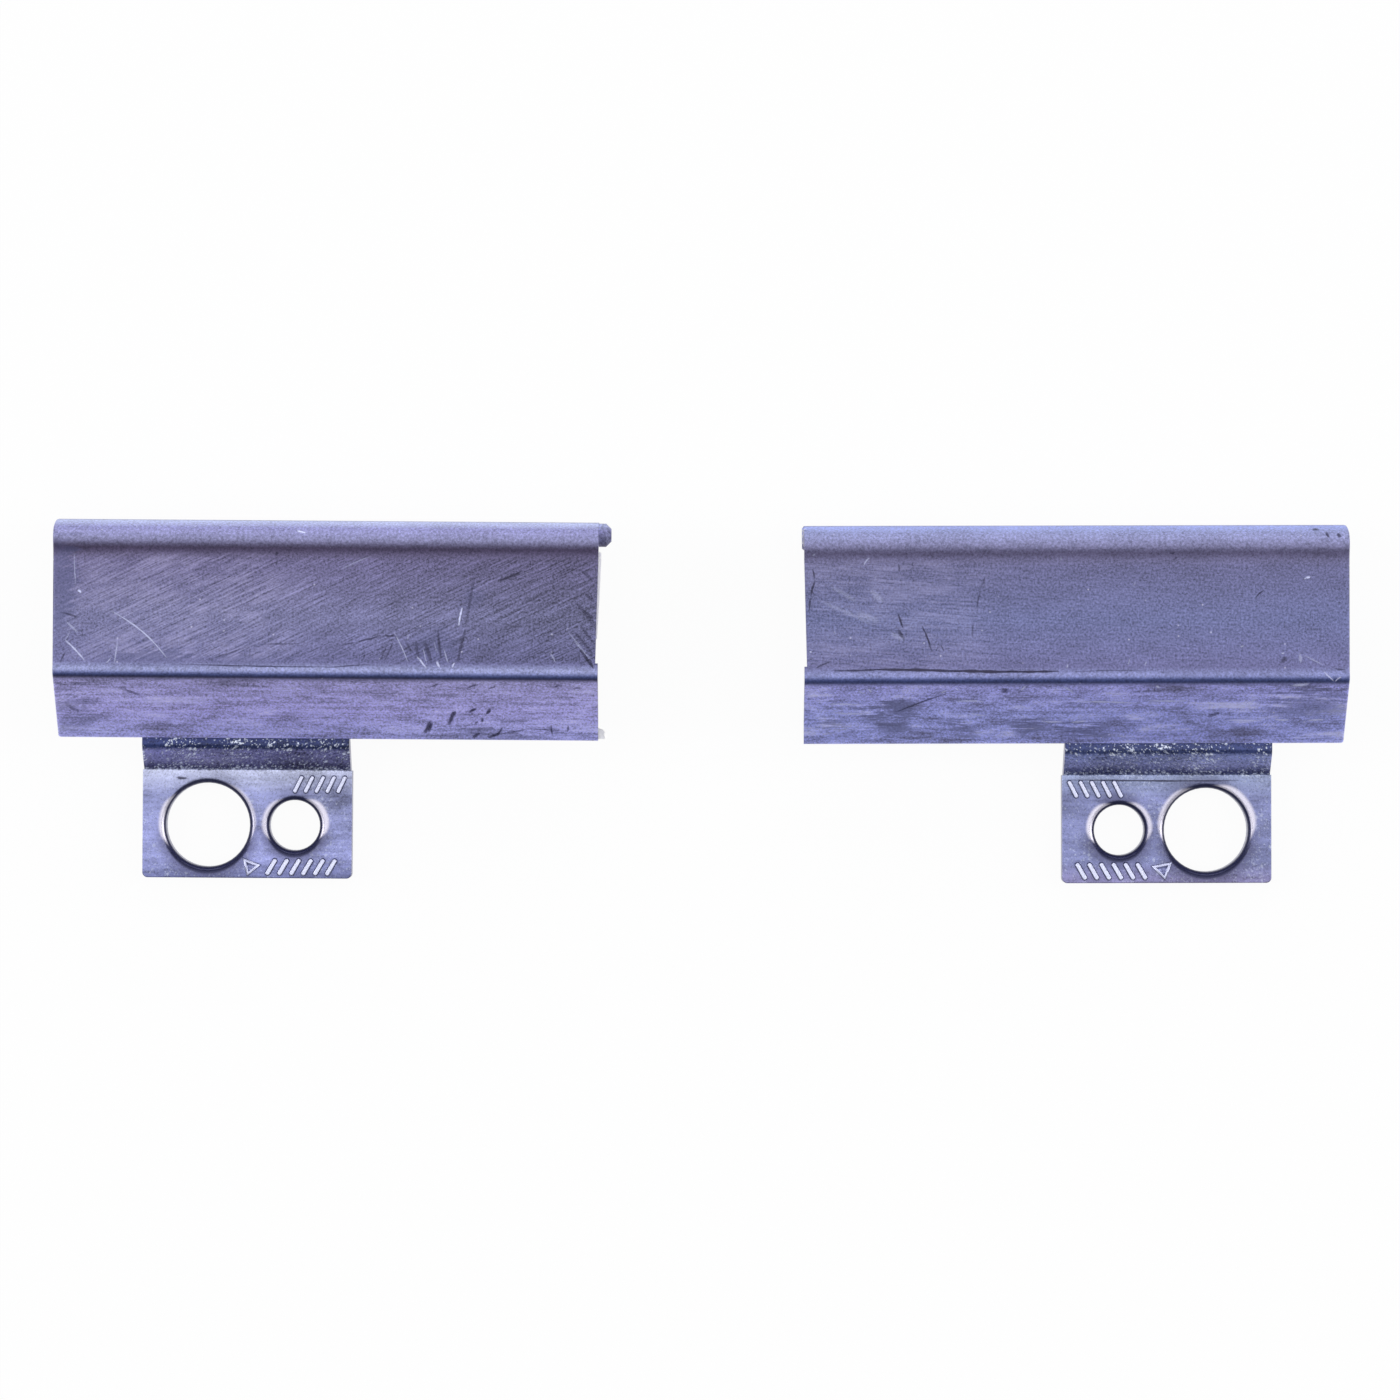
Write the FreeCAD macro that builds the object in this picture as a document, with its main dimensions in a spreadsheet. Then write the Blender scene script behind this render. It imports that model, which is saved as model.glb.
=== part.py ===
import FreeCAD, Part
import Sketcher
import enum
import math
import os

# A pair of laptop hinge covers: two moulded shells, left and right, lying side by side on their feet.
# Each shell is one wall thick: a vertical back, a rounded bead, a flat panel and a sloping flange,
# open below and at both ends so that it drops over a hinge. A stepped tab at the front is screwed down.
# X runs along the covers, +Y points to the back (the bead), +Z points up from the surface they lie on.

# Driving sizes in millimetres, turns in degrees.
SIZES = {
    # Layout of the pair
    "cover_length": 25.6,
    "inner_gap": 9.66,
    "stagger": 0.29,
    "left_turn": -0.42,
    "right_turn": 0.12,
    # Section of the shell
    "wall": 0.9,
    "back_radius": 4.0,
    "bead_radius": 0.7,
    "bead_setback": 0.25,
    "bead_raise": 0.2,
    "cove_radius": 1.1,
    "ridge_reach": 7.15,
    "ridge_radius": 0.4,
    "lip_radius": 0.5,
    "lip_raise": 0.08,
    "flange_run": 3.15,
    "flange_drop": 3.4,
    "foot_radius": 0.15,
    "inside_radius": 0.5,
    # Step down from the flange to the tab
    "web_run": 1.53,
    "web_drop": 1.5,
    "web_step": 0.05,
    "web_notch": 0.07,
    "ledge_run": 0.25,
    "ledge_drop": 0.12,
    "web_bend_radius": 0.4,
    # Tab and its two holes
    "tab_thickness": 1.1,
    "left_tab_inset": 3.88,
    "right_tab_inset": 3.28,
    "boss_hole_radius": 2.0,
    "pin_hole_radius": 1.2,
    "hole_bridge": 0.94,
    "tab_outer_margin": 1.11,
    "tab_inner_margin": 1.53,
    "tab_back_margin": 0.62,
    "tab_front_margin": 0.53,
    "hole_rim": 0.28,
    "tab_corner": 0.25,
    "tab_edge": 0.1,
    # Moulding marks at the ends
    "end_round": 0.12,
    "end_relief": 0.12,
    "gate_radius": 0.55,
    "gate_inset": 0.6,
    "gate_drop": 1.4,
    "gate_bevel": 0.25,
    "left_gate_length": 0.59,
    "right_gate_length": 0.09,
}

# Heights above the surface and distances forward from the back face, as sums of the sizes
FOOT_HEIGHT = "tab_thickness + web_drop"
PANEL_HEIGHT = FOOT_HEIGHT + " + flange_drop"
BEAD_CENTRE = "bead_radius + bead_setback"
BEAD_CENTRE_HEIGHT = PANEL_HEIGHT + " + bead_raise - bead_radius"
RIDGE_CENTRE_HEIGHT = PANEL_HEIGHT + " + lip_raise - ridge_radius"
FOOT_CENTRE = "ridge_reach + flange_run - foot_radius"
FOOT_CENTRE_HEIGHT = FOOT_HEIGHT + " + foot_radius"
WEB_BEND_CENTRE = "ridge_reach + flange_run + ledge_run"
WEB_BEND_CENTRE_HEIGHT = FOOT_HEIGHT + " - ledge_drop - web_bend_radius"
TAB_BACK = "ridge_reach + flange_run + web_run"
HOLE_LINE = TAB_BACK + " + tab_back_margin + boss_hole_radius"
TAB_FRONT = HOLE_LINE + " + boss_hole_radius + tab_front_margin"
BOSS_HOLE_ALONG = "tab_outer_margin + boss_hole_radius"
PIN_HOLE_ALONG = BOSS_HOLE_ALONG + " + boss_hole_radius + hole_bridge + pin_hole_radius"
TAB_WIDTH = PIN_HOLE_ALONG + " + pin_hole_radius + tab_inner_margin"
WEB_WIDTH = TAB_WIDTH + " - web_notch - web_notch"
RELIEF_BACK = BEAD_CENTRE + " + bead_radius"
RELIEF_FRONT = "ridge_reach - lip_radius"
GATE_HEIGHT = PANEL_HEIGHT + " - gate_drop"

# Share of the neighbouring wall that a small round or bevel may take
ROUND_SHARE = 0.8
# How close two coordinates are when they count as the same
SAME = 1e-4


class Spot(enum.IntEnum):
    """Which point of a line or an arc a sketch dimension starts or ends at."""
    START = 1
    END = 2
    CENTRE = 3


class Given(enum.IntEnum):
    """What a sketch has from the start: the crossing of its axes and the first edge taken from elsewhere."""
    ORIGIN = -1
    OTHER_EDGE = -3


doc = FreeCAD.newDocument("hinge_covers")
dims = doc.addObject("Spreadsheet::Sheet", "dims")
for row, (size_name, size) in enumerate(SIZES.items(), 1):
    dims.set(f"A{row}", size_name)
    dims.set(f"B{row}", str(size))
    dims.setAlias(f"B{row}", size_name)
doc.recompute()


def rebuild():
    """Recomputes the document and stops at the first thing that failed."""
    doc.recompute()
    for item in doc.Objects:
        if "Invalid" in item.State or "Error" in item.State:
            raise RuntimeError(f"{item.Name} failed: {item.State}")


def value(total):
    """The number that a sum of size names, such as 'wall + web_step', comes to."""
    result = 0.0
    sign = 1
    for word in total.split():
        if word in "+-":
            sign = 1 if word == "+" else -1
        else:
            result += sign * dims.get(word)
    return result


def formula(total):
    """The same sum, written so that the document keeps it tied to the sheet."""
    return " ".join(word if word in "+-" else "dims." + word for word in total.split())


def point(x, y):
    return FreeCAD.Vector(x, y, 0)


def new_sketch(body, name, role):
    """An empty sketch on one of the body's own origin planes."""
    sketch = body.newObject("Sketcher::SketchObject", name)
    plane = next(item for item in body.Origin.OriginFeatures if item.Role == role)
    sketch.AttachmentSupport = [(plane, "")]
    sketch.MapMode = "FlatFace"
    return sketch


def bind(sketch, name, total, kind, *places):
    """A dimension of the sketch that follows a sum of sizes."""
    index = sketch.addConstraint(Sketcher.Constraint(kind, *places, value(total)))
    sketch.renameConstraint(index, name)
    sketch.setExpression("Constraints." + name, formula(total))


class Outline:
    """A closed chain of lines and arcs, walked one way round; smooth joints are tangent."""

    def __init__(self, sketch, start):
        self.sketch = sketch
        self.here = start
        self.first = None
        self.last = None
        self.ids = {}

    def add(self, name, shape, begin, finish, smooth):
        index = self.sketch.addGeometry(shape)
        self.ids[name] = index
        if self.last is None:
            self.first = (index, begin)
        else:
            kind = "Tangent" if smooth else "Coincident"
            self.sketch.addConstraint(Sketcher.Constraint(kind, *self.last, index, begin))
        self.last = (index, finish)

    def line(self, name, end, smooth=False):
        self.add(name, Part.LineSegment(self.here, end), Spot.START, Spot.END, smooth)
        self.here = end

    def arc(self, name, centre, end, left_turn=True):
        """An arc that is tangent to what comes before it and turns left or right."""
        sides = (self.here, end) if left_turn else (end, self.here)
        angles = [math.atan2(side.y - centre.y, side.x - centre.x) for side in sides]
        circle = Part.Circle(centre, FreeCAD.Vector(0, 0, 1), (end - centre).Length)
        shape = Part.ArcOfCircle(circle, *angles)
        ends = (Spot.START, Spot.END) if left_turn else (Spot.END, Spot.START)
        self.add(name, shape, *ends, True)
        self.here = end

    def close(self):
        self.sketch.addConstraint(Sketcher.Constraint("Coincident", *self.last, *self.first))

    def level(self, *names):
        for name in names:
            self.sketch.addConstraint(Sketcher.Constraint("Horizontal", self.ids[name]))

    def upright(self, *names):
        for name in names:
            self.sketch.addConstraint(Sketcher.Constraint("Vertical", self.ids[name]))

    def radius(self, name, size_name):
        bind(self.sketch, name + "_radius", size_name, "Radius", self.ids[name])

    def forward(self, name, place, total):
        """Distance of a point in front of the back face."""
        key = f"{name}_{place.name}_forward"
        bind(self.sketch, key, total, "DistanceX", self.ids[name], place, Given.ORIGIN, Spot.START)

    def height(self, name, place, total):
        key = f"{name}_{place.name}_height"
        bind(self.sketch, key, total, "DistanceY", Given.ORIGIN, Spot.START, self.ids[name], place)


def between(start, end, length):
    """The point at a given length from start on the way to end."""
    return start + (end - start).normalize() * length


def draw_section(sketch):
    """The shell's section: back, bead, cove, panel, lip, ridge, flange and the inside one wall away."""
    wall = value("wall")
    panel_z = value(PANEL_HEIGHT)
    inside = value("inside_radius")
    bead = point(-value(BEAD_CENTRE), value(BEAD_CENTRE_HEIGHT))
    ridge = point(-value("ridge_reach"), value(RIDGE_CENTRE_HEIGHT))
    foot = point(-value(FOOT_CENTRE), value(FOOT_CENTRE_HEIGHT))
    back_r = value("back_radius")
    bead_r = value("bead_radius")
    cove_r = value("cove_radius")
    lip_r = value("lip_radius")
    ridge_r = value("ridge_radius")
    foot_r = value("foot_radius")

    # Centres of the arcs that lie tangent between two others
    back_rise = math.sqrt((back_r - bead_r) ** 2 - (back_r + bead.x) ** 2)
    back = point(-back_r, bead.y - back_rise)
    cove_y = panel_z + cove_r
    cove = point(bead.x - math.sqrt((bead_r + cove_r) ** 2 - (cove_y - bead.y) ** 2), cove_y)
    lip_y = panel_z + lip_r
    lip = point(ridge.x + math.sqrt((ridge_r + lip_r) ** 2 - (lip_y - ridge.y) ** 2), lip_y)

    # The flange touches the ridge's round and the foot's round on their outer sides
    slant = foot - ridge
    slant_angle = math.atan2(slant.y, slant.x) + math.asin((ridge_r - foot_r) / slant.Length)
    outward = point(math.sin(slant_angle), -math.cos(slant_angle))
    down_slope = point(math.cos(slant_angle), math.sin(slant_angle))
    flange_top = ridge + outward * ridge_r
    flange_end = foot + outward * foot_r

    # The flange's inner face, from the foot up to the rounded corner under the panel
    inner_start = flange_end - outward * wall
    foot_y = foot.y - foot_r
    foot_inner = inner_start + down_slope * ((foot_y - inner_start.y) / down_slope.y)
    under_y = panel_z - wall
    front_y = under_y - inside
    front_on_slope = inner_start - outward * inside
    front = front_on_slope + down_slope * ((front_y - front_on_slope.y) / down_slope.y)
    rear = point(-wall - inside, front_y)

    path = Outline(sketch, point(0, 0))
    path.line("back", point(0, back.y))
    path.arc("back_arc", back, between(back, bead, back_r))
    path.arc("bead", bead, between(bead, cove, bead_r))
    path.arc("cove", cove, point(cove.x, panel_z), left_turn=False)
    path.line("panel", point(lip.x, panel_z), smooth=True)
    path.arc("lip", lip, between(lip, ridge, lip_r), left_turn=False)
    path.arc("ridge", ridge, flange_top)
    path.line("flange", flange_end, smooth=True)
    path.arc("foot_round", foot, point(foot.x, foot_y))
    path.line("foot", foot_inner, smooth=True)
    path.line("flange_inside", front + outward * inside)
    path.arc("front_inside", front, point(front.x, under_y), left_turn=False)
    path.line("underside", point(rear.x, under_y), smooth=True)
    path.arc("rear_inside", rear, point(-wall, rear.y), left_turn=False)
    path.line("back_inside", point(-wall, 0), smooth=True)
    path.line("back_foot", point(0, 0))
    path.close()

    path.upright("back", "back_inside")
    path.level("panel", "foot", "underside", "back_foot")
    flange, flange_inside = path.ids["flange"], path.ids["flange_inside"]
    sketch.addConstraint(Sketcher.Constraint("Parallel", flange, flange_inside))
    at_origin = (Given.ORIGIN, Spot.START)
    sketch.addConstraint(Sketcher.Constraint("Coincident", path.ids["back"], Spot.START, *at_origin))
    path.radius("back_arc", "back_radius")
    path.radius("bead", "bead_radius")
    path.radius("cove", "cove_radius")
    path.radius("lip", "lip_radius")
    path.radius("ridge", "ridge_radius")
    path.radius("foot_round", "foot_radius")
    path.radius("front_inside", "inside_radius")
    path.radius("rear_inside", "inside_radius")
    path.forward("bead", Spot.CENTRE, BEAD_CENTRE)
    path.height("bead", Spot.CENTRE, BEAD_CENTRE_HEIGHT)
    path.height("panel", Spot.START, PANEL_HEIGHT)
    path.forward("ridge", Spot.CENTRE, "ridge_reach")
    path.height("ridge", Spot.CENTRE, RIDGE_CENTRE_HEIGHT)
    path.forward("foot_round", Spot.CENTRE, FOOT_CENTRE)
    path.height("foot_round", Spot.CENTRE, FOOT_CENTRE_HEIGHT)
    path.forward("back_inside", Spot.END, "wall")
    path.height("underside", Spot.START, PANEL_HEIGHT + " - wall")
    bind(sketch, "flange_wall", "wall", "Distance", flange_inside, Spot.START, flange)
    return path


def draw_web(sketch, section, foot_edge):
    """The web's section: a ledge under the flange's foot, a bend and a slope down to the tab's back."""
    sketch.addExternal(section.Name, f"Edge{foot_edge + 1}")
    foot = section.Geometry[foot_edge]
    inner = point(foot.EndPoint.x, foot.EndPoint.y)
    corner = point(foot.StartPoint.x + value("web_step"), foot.StartPoint.y)
    bend_r = value("web_bend_radius")
    bend = point(-value(WEB_BEND_CENTRE), value(WEB_BEND_CENTRE_HEIGHT))
    tab_top = point(-value(TAB_BACK), value("tab_thickness"))
    ledge_y = bend.y + bend_r
    to_tab = tab_top - bend
    slope_angle = math.atan2(to_tab.y, to_tab.x) - math.acos(bend_r / to_tab.Length)
    slope_top = bend + point(math.cos(slope_angle), math.sin(slope_angle)) * bend_r

    path = Outline(sketch, inner)
    path.line("top", corner)
    path.line("riser", point(corner.x, ledge_y))
    path.line("ledge", point(bend.x, ledge_y))
    path.arc("bend", bend, slope_top)
    path.line("slope", tab_top, smooth=True)
    path.line("seam", point(tab_top.x, 0))
    path.line("rear", inner)
    path.close()
    path.level("top", "ledge")
    path.upright("riser", "seam")
    inner_end = (Given.OTHER_EDGE, Spot.END)
    outer_end = (Given.OTHER_EDGE, Spot.START)
    sketch.addConstraint(Sketcher.Constraint("Coincident", path.ids["top"], Spot.START, *inner_end))
    bind(sketch, "step", "web_step", "DistanceX", *outer_end, path.ids["top"], Spot.END)
    path.radius("bend", "web_bend_radius")
    path.forward("bend", Spot.CENTRE, WEB_BEND_CENTRE)
    path.height("bend", Spot.CENTRE, WEB_BEND_CENTRE_HEIGHT)
    path.forward("seam", Spot.START, TAB_BACK)
    path.height("seam", Spot.START, "tab_thickness")
    on_base = (path.ids["seam"], Spot.END, Given.ORIGIN)
    sketch.addConstraint(Sketcher.Constraint("PointOnObject", *on_base))


def place_in_plan(sketch, name, spot, hand, along, forward):
    """Ties a point of a plan to its distances from the cover's outer end and from its back face."""
    span = (Given.ORIGIN, Spot.START, *spot) if hand > 0 else (*spot, Given.ORIGIN, Spot.START)
    bind(sketch, name + "_along", along, "DistanceX", *span)
    bind(sketch, name + "_forward", forward, "DistanceY", *spot, Given.ORIGIN, Spot.START)


def draw_tab(sketch, hand, inset):
    """The tab's plan: rounded front corners, a hole for the screw boss and one for the locating pin."""
    corner = value("tab_corner")
    near = hand * value(inset)
    far = hand * (value(inset) + value(TAB_WIDTH))
    back_y = -value(TAB_BACK)
    front_y = -value(TAB_FRONT)
    turns_left = hand < 0
    path = Outline(sketch, point(near, back_y))
    path.line("back", point(far, back_y))
    path.line("inner_side", point(far, front_y + corner))
    inner_centre = point(far - hand * corner, front_y + corner)
    path.arc("inner_corner", inner_centre, point(inner_centre.x, front_y), turns_left)
    path.line("front", point(near + hand * corner, front_y), smooth=True)
    outer_centre = point(near + hand * corner, front_y + corner)
    path.arc("outer_corner", outer_centre, point(near, outer_centre.y), turns_left)
    path.line("outer_side", point(near, back_y), smooth=True)
    path.close()
    path.level("back", "front")
    path.upright("inner_side", "outer_side")
    path.radius("inner_corner", "tab_corner")
    path.radius("outer_corner", "tab_corner")
    place_in_plan(sketch, "outer_back", (path.ids["back"], Spot.START), hand, inset, TAB_BACK)
    far_total = inset + " + " + TAB_WIDTH
    place_in_plan(sketch, "front_edge", (path.ids["front"], Spot.START), hand,
                  far_total + " - tab_corner", TAB_FRONT)
    holes = (("boss_hole", BOSS_HOLE_ALONG), ("pin_hole", PIN_HOLE_ALONG))
    for name, along in holes:
        total = inset + " + " + along
        centre = point(hand * value(total), -value(HOLE_LINE))
        circle = Part.Circle(centre, FreeCAD.Vector(0, 0, 1), value(name + "_radius"))
        index = sketch.addGeometry(circle)
        bind(sketch, name + "_size", name + "_radius", "Radius", index)
        place_in_plan(sketch, name, (index, Spot.CENTRE), hand, total, HOLE_LINE)


def draw_gate(sketch):
    """The round stub left where the plastic entered the mould, at the bead's inner end."""
    centre = point(-value("gate_inset"), value(GATE_HEIGHT))
    circle = Part.Circle(centre, FreeCAD.Vector(0, 0, 1), value("gate_radius"))
    index = sketch.addGeometry(circle)
    bind(sketch, "size", "gate_radius", "Radius", index)
    bind(sketch, "forward", "gate_inset", "DistanceX", index, Spot.CENTRE, Given.ORIGIN, Spot.START)
    bind(sketch, "height", GATE_HEIGHT, "DistanceY", Given.ORIGIN, Spot.START, index, Spot.CENTRE)


def draw_relief(sketch, hand):
    """The sliver by which the panel's inner end falls back towards the ridge, in plan."""
    end_x = hand * value("cover_length")
    notch_x = end_x - hand * value("end_relief")
    front_y = -value(RELIEF_FRONT)
    path = Outline(sketch, point(end_x, -value(RELIEF_BACK)))
    path.line("slant", point(notch_x, front_y))
    path.line("step", point(end_x, front_y))
    path.line("end", point(end_x, -value(RELIEF_BACK)))
    path.close()
    place_in_plan(sketch, "top", (path.ids["slant"], Spot.START), hand, "cover_length", RELIEF_BACK)
    notch_total = "cover_length - end_relief"
    place_in_plan(sketch, "notch", (path.ids["slant"], Spot.END), hand, notch_total, RELIEF_FRONT)
    path.level("step")
    path.upright("end")


def add_pad(body, sketch, length, hand):
    """Thickens a section away from the cover's outer end, or a plan upwards."""
    pad = body.newObject("PartDesign::Pad", sketch.Name + "_pad")
    pad.Profile = sketch
    pad.Reversed = hand < 0
    pad.setExpression("Length", length)
    rebuild()


def cut_upwards(body, sketch):
    """Cuts a plan through everything above it, and makes sure that something was cut."""
    before = body.Tip.Shape.Volume
    pocket = body.newObject("PartDesign::Pocket", sketch.Name + "_cut")
    pocket.Profile = sketch
    pocket.Type = "ThroughAll"
    pocket.Reversed = True
    rebuild()
    if pocket.Shape.Volume > before - SAME:
        raise RuntimeError(sketch.Name + " cuts nothing")


def middle(curve):
    return curve.value((curve.FirstParameter + curve.LastParameter) / 2)


def edge_names(shape, wanted):
    return [f"Edge{number}" for number, edge in enumerate(shape.Edges, 1) if wanted(edge)]


def soften(body, kind, name, size_key, size_formula, wanted):
    """A round or a bevel on the edges that a test picks out."""
    names = edge_names(body.Tip.Shape, wanted)
    if not names:
        raise RuntimeError(name + " finds no edge")
    base = body.Tip
    feature = body.newObject(kind, name)
    feature.Base = (base, names)
    feature.setExpression(size_key, size_formula)
    rebuild()


def lies_at(edge, axis, place):
    """Whether an edge lies in the plane square to an axis, at a given place along it."""
    box = edge.BoundBox
    return all(abs(getattr(box, axis + side) - place) < SAME for side in ("Min", "Max"))


def is_hole_rim(edge):
    """Whether an edge is the top of one of the tab's holes."""
    if not lies_at(edge, "Z", value("tab_thickness")) or not isinstance(edge.Curve, Part.Circle):
        return False
    return abs(edge.Curve.Center.y + value(HOLE_LINE)) < SAME


def is_tab_rim(edge):
    """Whether an edge runs round the top of the tab, other than its back and its holes."""
    if not lies_at(edge, "Z", value("tab_thickness")) or is_hole_rim(edge):
        return False
    return edge.BoundBox.YMin < -value(TAB_BACK) - SAME


def make_cover(side, hand):
    """One cover, from its outer end; hand is 1 where it runs towards +X and -1 towards -X."""
    inset = side + "_tab_inset"
    gate_length = side + "_gate_length"
    body = doc.addObject("PartDesign::Body", side + "_cover")
    body.Label = side + "_cover"

    section = new_sketch(body, side + "_section", "YZ_Plane")
    shell = draw_section(section)
    rebuild()
    add_pad(body, section, "dims.cover_length", hand)

    web = new_sketch(body, side + "_web", "YZ_Plane")
    web.setExpression("AttachmentOffset.Base.z", f"{hand} * ({formula(inset + ' + web_notch')})")
    rebuild()
    draw_web(web, section, shell.ids["foot"])
    add_pad(body, web, formula(WEB_WIDTH), hand)

    tab = new_sketch(body, side + "_tab", "XY_Plane")
    draw_tab(tab, hand, inset)
    add_pad(body, tab, "dims.tab_thickness", 1)

    gate = new_sketch(body, side + "_gate", "YZ_Plane")
    gate.setExpression("AttachmentOffset.Base.z", f"{hand} * dims.cover_length")
    draw_gate(gate)
    add_pad(body, gate, "dims." + gate_length, hand)

    relief = new_sketch(body, side + "_relief", "XY_Plane")
    draw_relief(relief, hand)
    cut_upwards(body, relief)

    # Small rounds, each kept within the wall beside it
    gate_end = hand * value("cover_length + " + gate_length)
    outer_names = ("back", "back_arc", "bead", "cove", "panel", "lip", "ridge", "flange", "foot_round")
    outer_middles = [middle(section.Geometry[shell.ids[name]]) for name in outer_names]
    outer_places = [FreeCAD.Vector(0, spot.x, spot.y) for spot in outer_middles]

    def is_outer_end(edge):
        spot = edge.valueAt((edge.FirstParameter + edge.LastParameter) / 2)
        return any((spot - place).Length < SAME for place in outer_places)

    rim_room = "dims.tab_front_margin - dims.tab_edge"
    soften(body, "PartDesign::Fillet", side + "_hole_rims", "Radius",
           f"min(dims.hole_rim; {ROUND_SHARE} * ({rim_room}))",
           is_hole_rim)
    soften(body, "PartDesign::Fillet", side + "_tab_rim", "Radius",
           f"min(dims.tab_edge; {ROUND_SHARE} * dims.web_notch)", is_tab_rim)
    soften(body, "PartDesign::Fillet", side + "_outer_end", "Radius",
           f"min(dims.end_round; {ROUND_SHARE} * dims.foot_radius)", is_outer_end)
    soften(body, "PartDesign::Chamfer", side + "_gate_bevel", "Size",
           f"min(dims.gate_bevel; {ROUND_SHARE} * dims.{gate_length})",
           lambda edge: lies_at(edge, "X", gate_end))

    body.setExpression(".Placement.Base.x", f"{-hand} * (dims.inner_gap / 2 + dims.cover_length)")
    body.setExpression(".Placement.Base.y", f"({formula(TAB_FRONT)} + {hand} * dims.stagger) / 2")
    body.setExpression(".Placement.Rotation.Yaw", f"dims.{side}_turn")
    rebuild()
    return body


covers = [make_cover("left", 1), make_cover("right", -1)]

rebuild()
for cover in covers:
    if cover.Shape.isNull() or not cover.Shape.isValid() or len(cover.Shape.Solids) != 1:
        raise RuntimeError(f"{cover.Label} is not one valid solid")

os.makedirs("parts", exist_ok=True)
for cover in covers:
    cover.Shape.exportStep(f"parts/{cover.Label}.step")
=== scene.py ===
import math

import bmesh
import bpy
from mathutils import Matrix, Vector
from mathutils.bvhtree import BVHTree


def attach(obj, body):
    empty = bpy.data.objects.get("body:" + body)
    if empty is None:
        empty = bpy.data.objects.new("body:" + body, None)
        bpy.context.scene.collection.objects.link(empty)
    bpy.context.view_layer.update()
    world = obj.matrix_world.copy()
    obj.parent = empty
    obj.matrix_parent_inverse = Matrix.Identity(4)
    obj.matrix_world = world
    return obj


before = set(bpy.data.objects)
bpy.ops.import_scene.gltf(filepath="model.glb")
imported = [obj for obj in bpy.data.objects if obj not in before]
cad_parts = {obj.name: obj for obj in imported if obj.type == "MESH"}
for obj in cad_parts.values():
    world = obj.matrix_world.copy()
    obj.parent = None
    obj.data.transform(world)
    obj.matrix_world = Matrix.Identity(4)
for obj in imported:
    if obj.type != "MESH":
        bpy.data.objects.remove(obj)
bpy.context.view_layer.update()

# Places are in millimetres on a cover's own axes: u from its outer end, v forward from its back face, z up.
MM = 0.001
LENGTH = 25.6
FOOT_Z = 2.6
TAB_Z = 1.1
# Each cover's outer back corner, its turn, and which way its u runs along X
COVERS = {
    "left": {"base": (-30.43, 8.635), "turn": math.radians(-0.42), "hand": 1},
    "right": {"base": (30.43, 8.345), "turn": math.radians(0.12), "hand": -1},
}


def tone(red, green, blue):
    """A colour given as a screen shows it, from 0 to 255, as the shader's own numbers."""
    shares = [level / 255 for level in (red, green, blue)]
    return (*[s / 12.92 if s < 0.04045 else ((s + 0.055) / 1.055) ** 2.4 for s in shares], 1.0)


def to_frame(side, u, v, z):
    """A place on a cover, in the row frame and in metres."""
    cover = COVERS[side]
    flat = Matrix.Rotation(cover["turn"], 3, "Z") @ Vector((cover["hand"] * u, -v, 0))
    return Vector((cover["base"][0] + flat.x, cover["base"][1] + flat.y, z)) * MM


class Nodes:
    """Short ways to add shader nodes to one tree and to join them."""

    def __init__(self, tree):
        self.tree = tree

    def feed(self, socket, value):
        if isinstance(value, bpy.types.NodeSocket):
            self.tree.links.new(value, socket)
        else:
            socket.default_value = value

    def add(self, kind, inputs=(), **settings):
        node = self.tree.nodes.new("ShaderNode" + kind)
        for key, value in settings.items():
            setattr(node, key, value)
        for key, value in dict(inputs).items():
            self.feed(node.inputs[key], value)
        return node

    def maths(self, operation, *values, clamp=False):
        return self.add("Math", enumerate(values), operation=operation, use_clamp=clamp).outputs[0]

    def times(self, *values):
        total = values[0]
        for value in values[1:]:
            total = self.maths("MULTIPLY", total, value)
        return total

    def plus(self, *values):
        total = values[0]
        for value in values[1:]:
            total = self.maths("ADD", total, value)
        return total

    def swing(self, value, reach):
        """A texture's 0 to 1 as a change up and down, about none."""
        return self.maths("MULTIPLY_ADD", value, 2 * reach, -reach)

    def vector(self, operation, *values, out="Vector"):
        return self.add("VectorMath", enumerate(values), operation=operation).outputs[out]

    def tinted(self, colour, shade):
        """A colour made darker or lighter; a fixed colour goes in without its alpha."""
        first = colour if isinstance(colour, bpy.types.NodeSocket) else colour[:3]
        return self.add("VectorMath", {0: first, "Scale": shade}, operation="SCALE").outputs[0]

    def ease(self, value, low, high):
        """0 at low, 1 at high and smooth between, either way round."""
        ends = {"Value": value, "From Min": low, "From Max": high}
        return self.add("MapRange", ends, interpolation_type="SMOOTHSTEP").outputs["Result"]

    def band(self, value, low, high, soft):
        """1 between low and high, with soft borders."""
        rise = self.ease(value, low - soft, low + soft)
        fall = self.ease(value, high + soft, high - soft)
        return self.times(rise, fall)

    def stretched(self, place, angle, along, across):
        """A place turned and then scaled, so that a texture runs in streaks at that angle."""
        turned = {"Vector": place, "Rotation": (0, 0, angle), "Scale": (1 / along, 1 / across, 1)}
        return self.add("Mapping", turned, vector_type="TEXTURE").outputs[0]

    def noise(self, place, scale, detail=2.0, roughness=0.55):
        inputs = {"Vector": place, "Scale": scale, "Detail": detail, "Roughness": roughness}
        return self.add("TexNoise", inputs).outputs["Fac"]

    def mix(self, factor, first, second):
        return self.add("Mix", {0: factor, 6: first, 7: second}, data_type="RGBA").outputs[2]

    def ramp(self, value, stops):
        node = self.add("ValToRGB", {"Fac": value})
        marks = node.color_ramp.elements
        while len(marks) < len(stops):
            marks.new(1.0)
        for mark, (position, colour) in zip(marks, stops):
            mark.position = position
            mark.color = colour
        return node.outputs["Color"]

    def greatest(self, values):
        top = values[0]
        for value in values[1:]:
            top = self.maths("MAXIMUM", top, value)
        return top


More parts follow.
